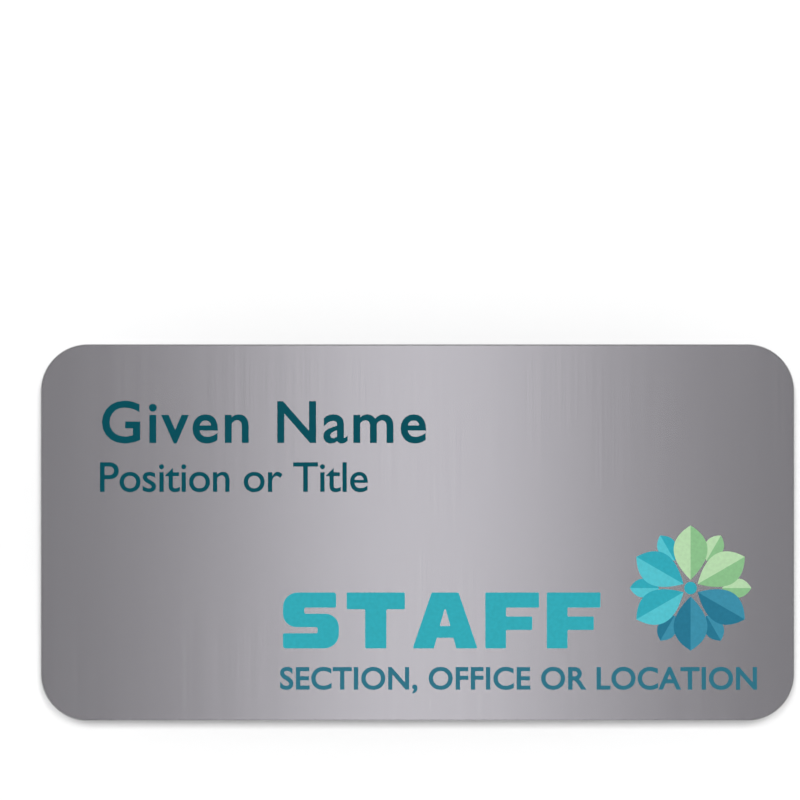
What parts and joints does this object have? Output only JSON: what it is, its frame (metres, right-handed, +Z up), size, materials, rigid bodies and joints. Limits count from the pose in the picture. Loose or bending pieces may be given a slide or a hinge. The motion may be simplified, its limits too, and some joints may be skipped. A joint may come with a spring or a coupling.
{
  "type": "name badge",
  "caption": "Flat rectangular name badge with round corners, a printed face of brushed metal and a bar pin on its back.",
  "frame": {"origin": "on the surface that the badge lies on, under the middle of the plate", "axes": "+X along the plate, in the reading direction; +Y towards the plate's top edge; +Z up, out of the plate's face"},
  "size_m": [0.0762, 0.0382, 0.006],
  "materials": {
    "brushed_silver": "fine straight brushing across the plate's short side",
    "nickel_plate": "nickel-plated steel, smooth, with fine handling marks",
    "printed_ink": "satin ink film in dark teal, aqua, blue and soft green"
  },
  "bodies": {
    "root": {"badge_plate": "brushed_silver", "bar_pin": "nickel_plate"}
  },
  "joints": []
}
